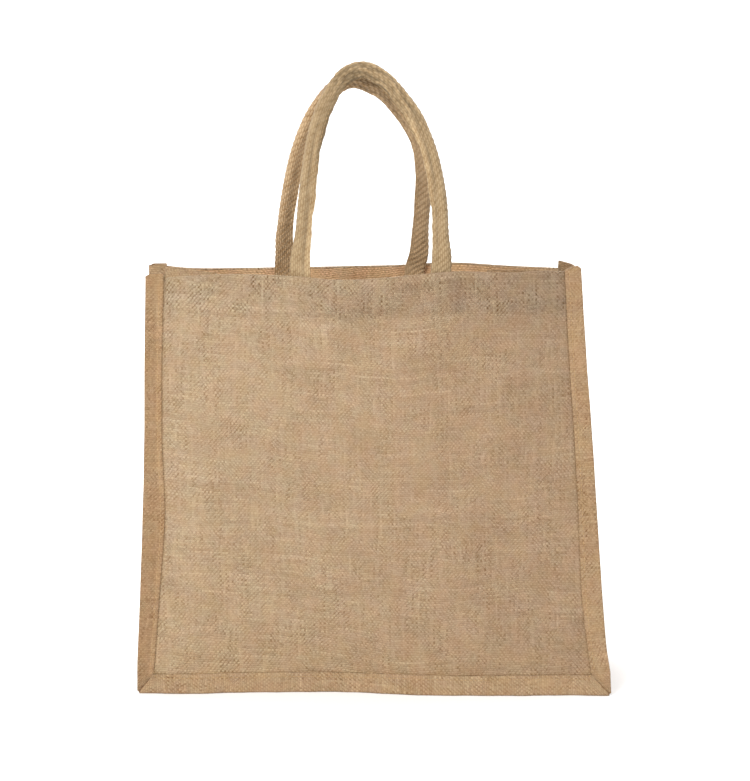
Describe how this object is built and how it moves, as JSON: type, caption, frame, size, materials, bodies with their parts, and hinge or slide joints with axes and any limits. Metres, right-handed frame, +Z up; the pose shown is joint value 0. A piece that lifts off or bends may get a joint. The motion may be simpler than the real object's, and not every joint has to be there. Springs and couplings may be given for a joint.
{
  "type": "jute tote bag",
  "caption": "Open-topped hessian shopping bag standing on its foot seams, with tucked-in gusset sides, a wide folded border along its seams and loop handles of tubular webbing.",
  "frame": {"origin": "on the surface under the middle of the whole bag's bounding box", "axes": "+Z up, +X to the right seen from the front, -Y towards the front panel"},
  "size_m": [0.453, 0.1851, 0.5998],
  "materials": {
    "panel": "coarse plain weave, matt",
    "gusset": "coarse plain weave, matt",
    "handle": "herringbone webbing, matt"
  },
  "bodies": {
    "root": {"front_panel": "panel", "back_panel": "panel", "gusset": "gusset", "handle_front": "handle", "handle_back": "handle"}
  },
  "joints": []
}
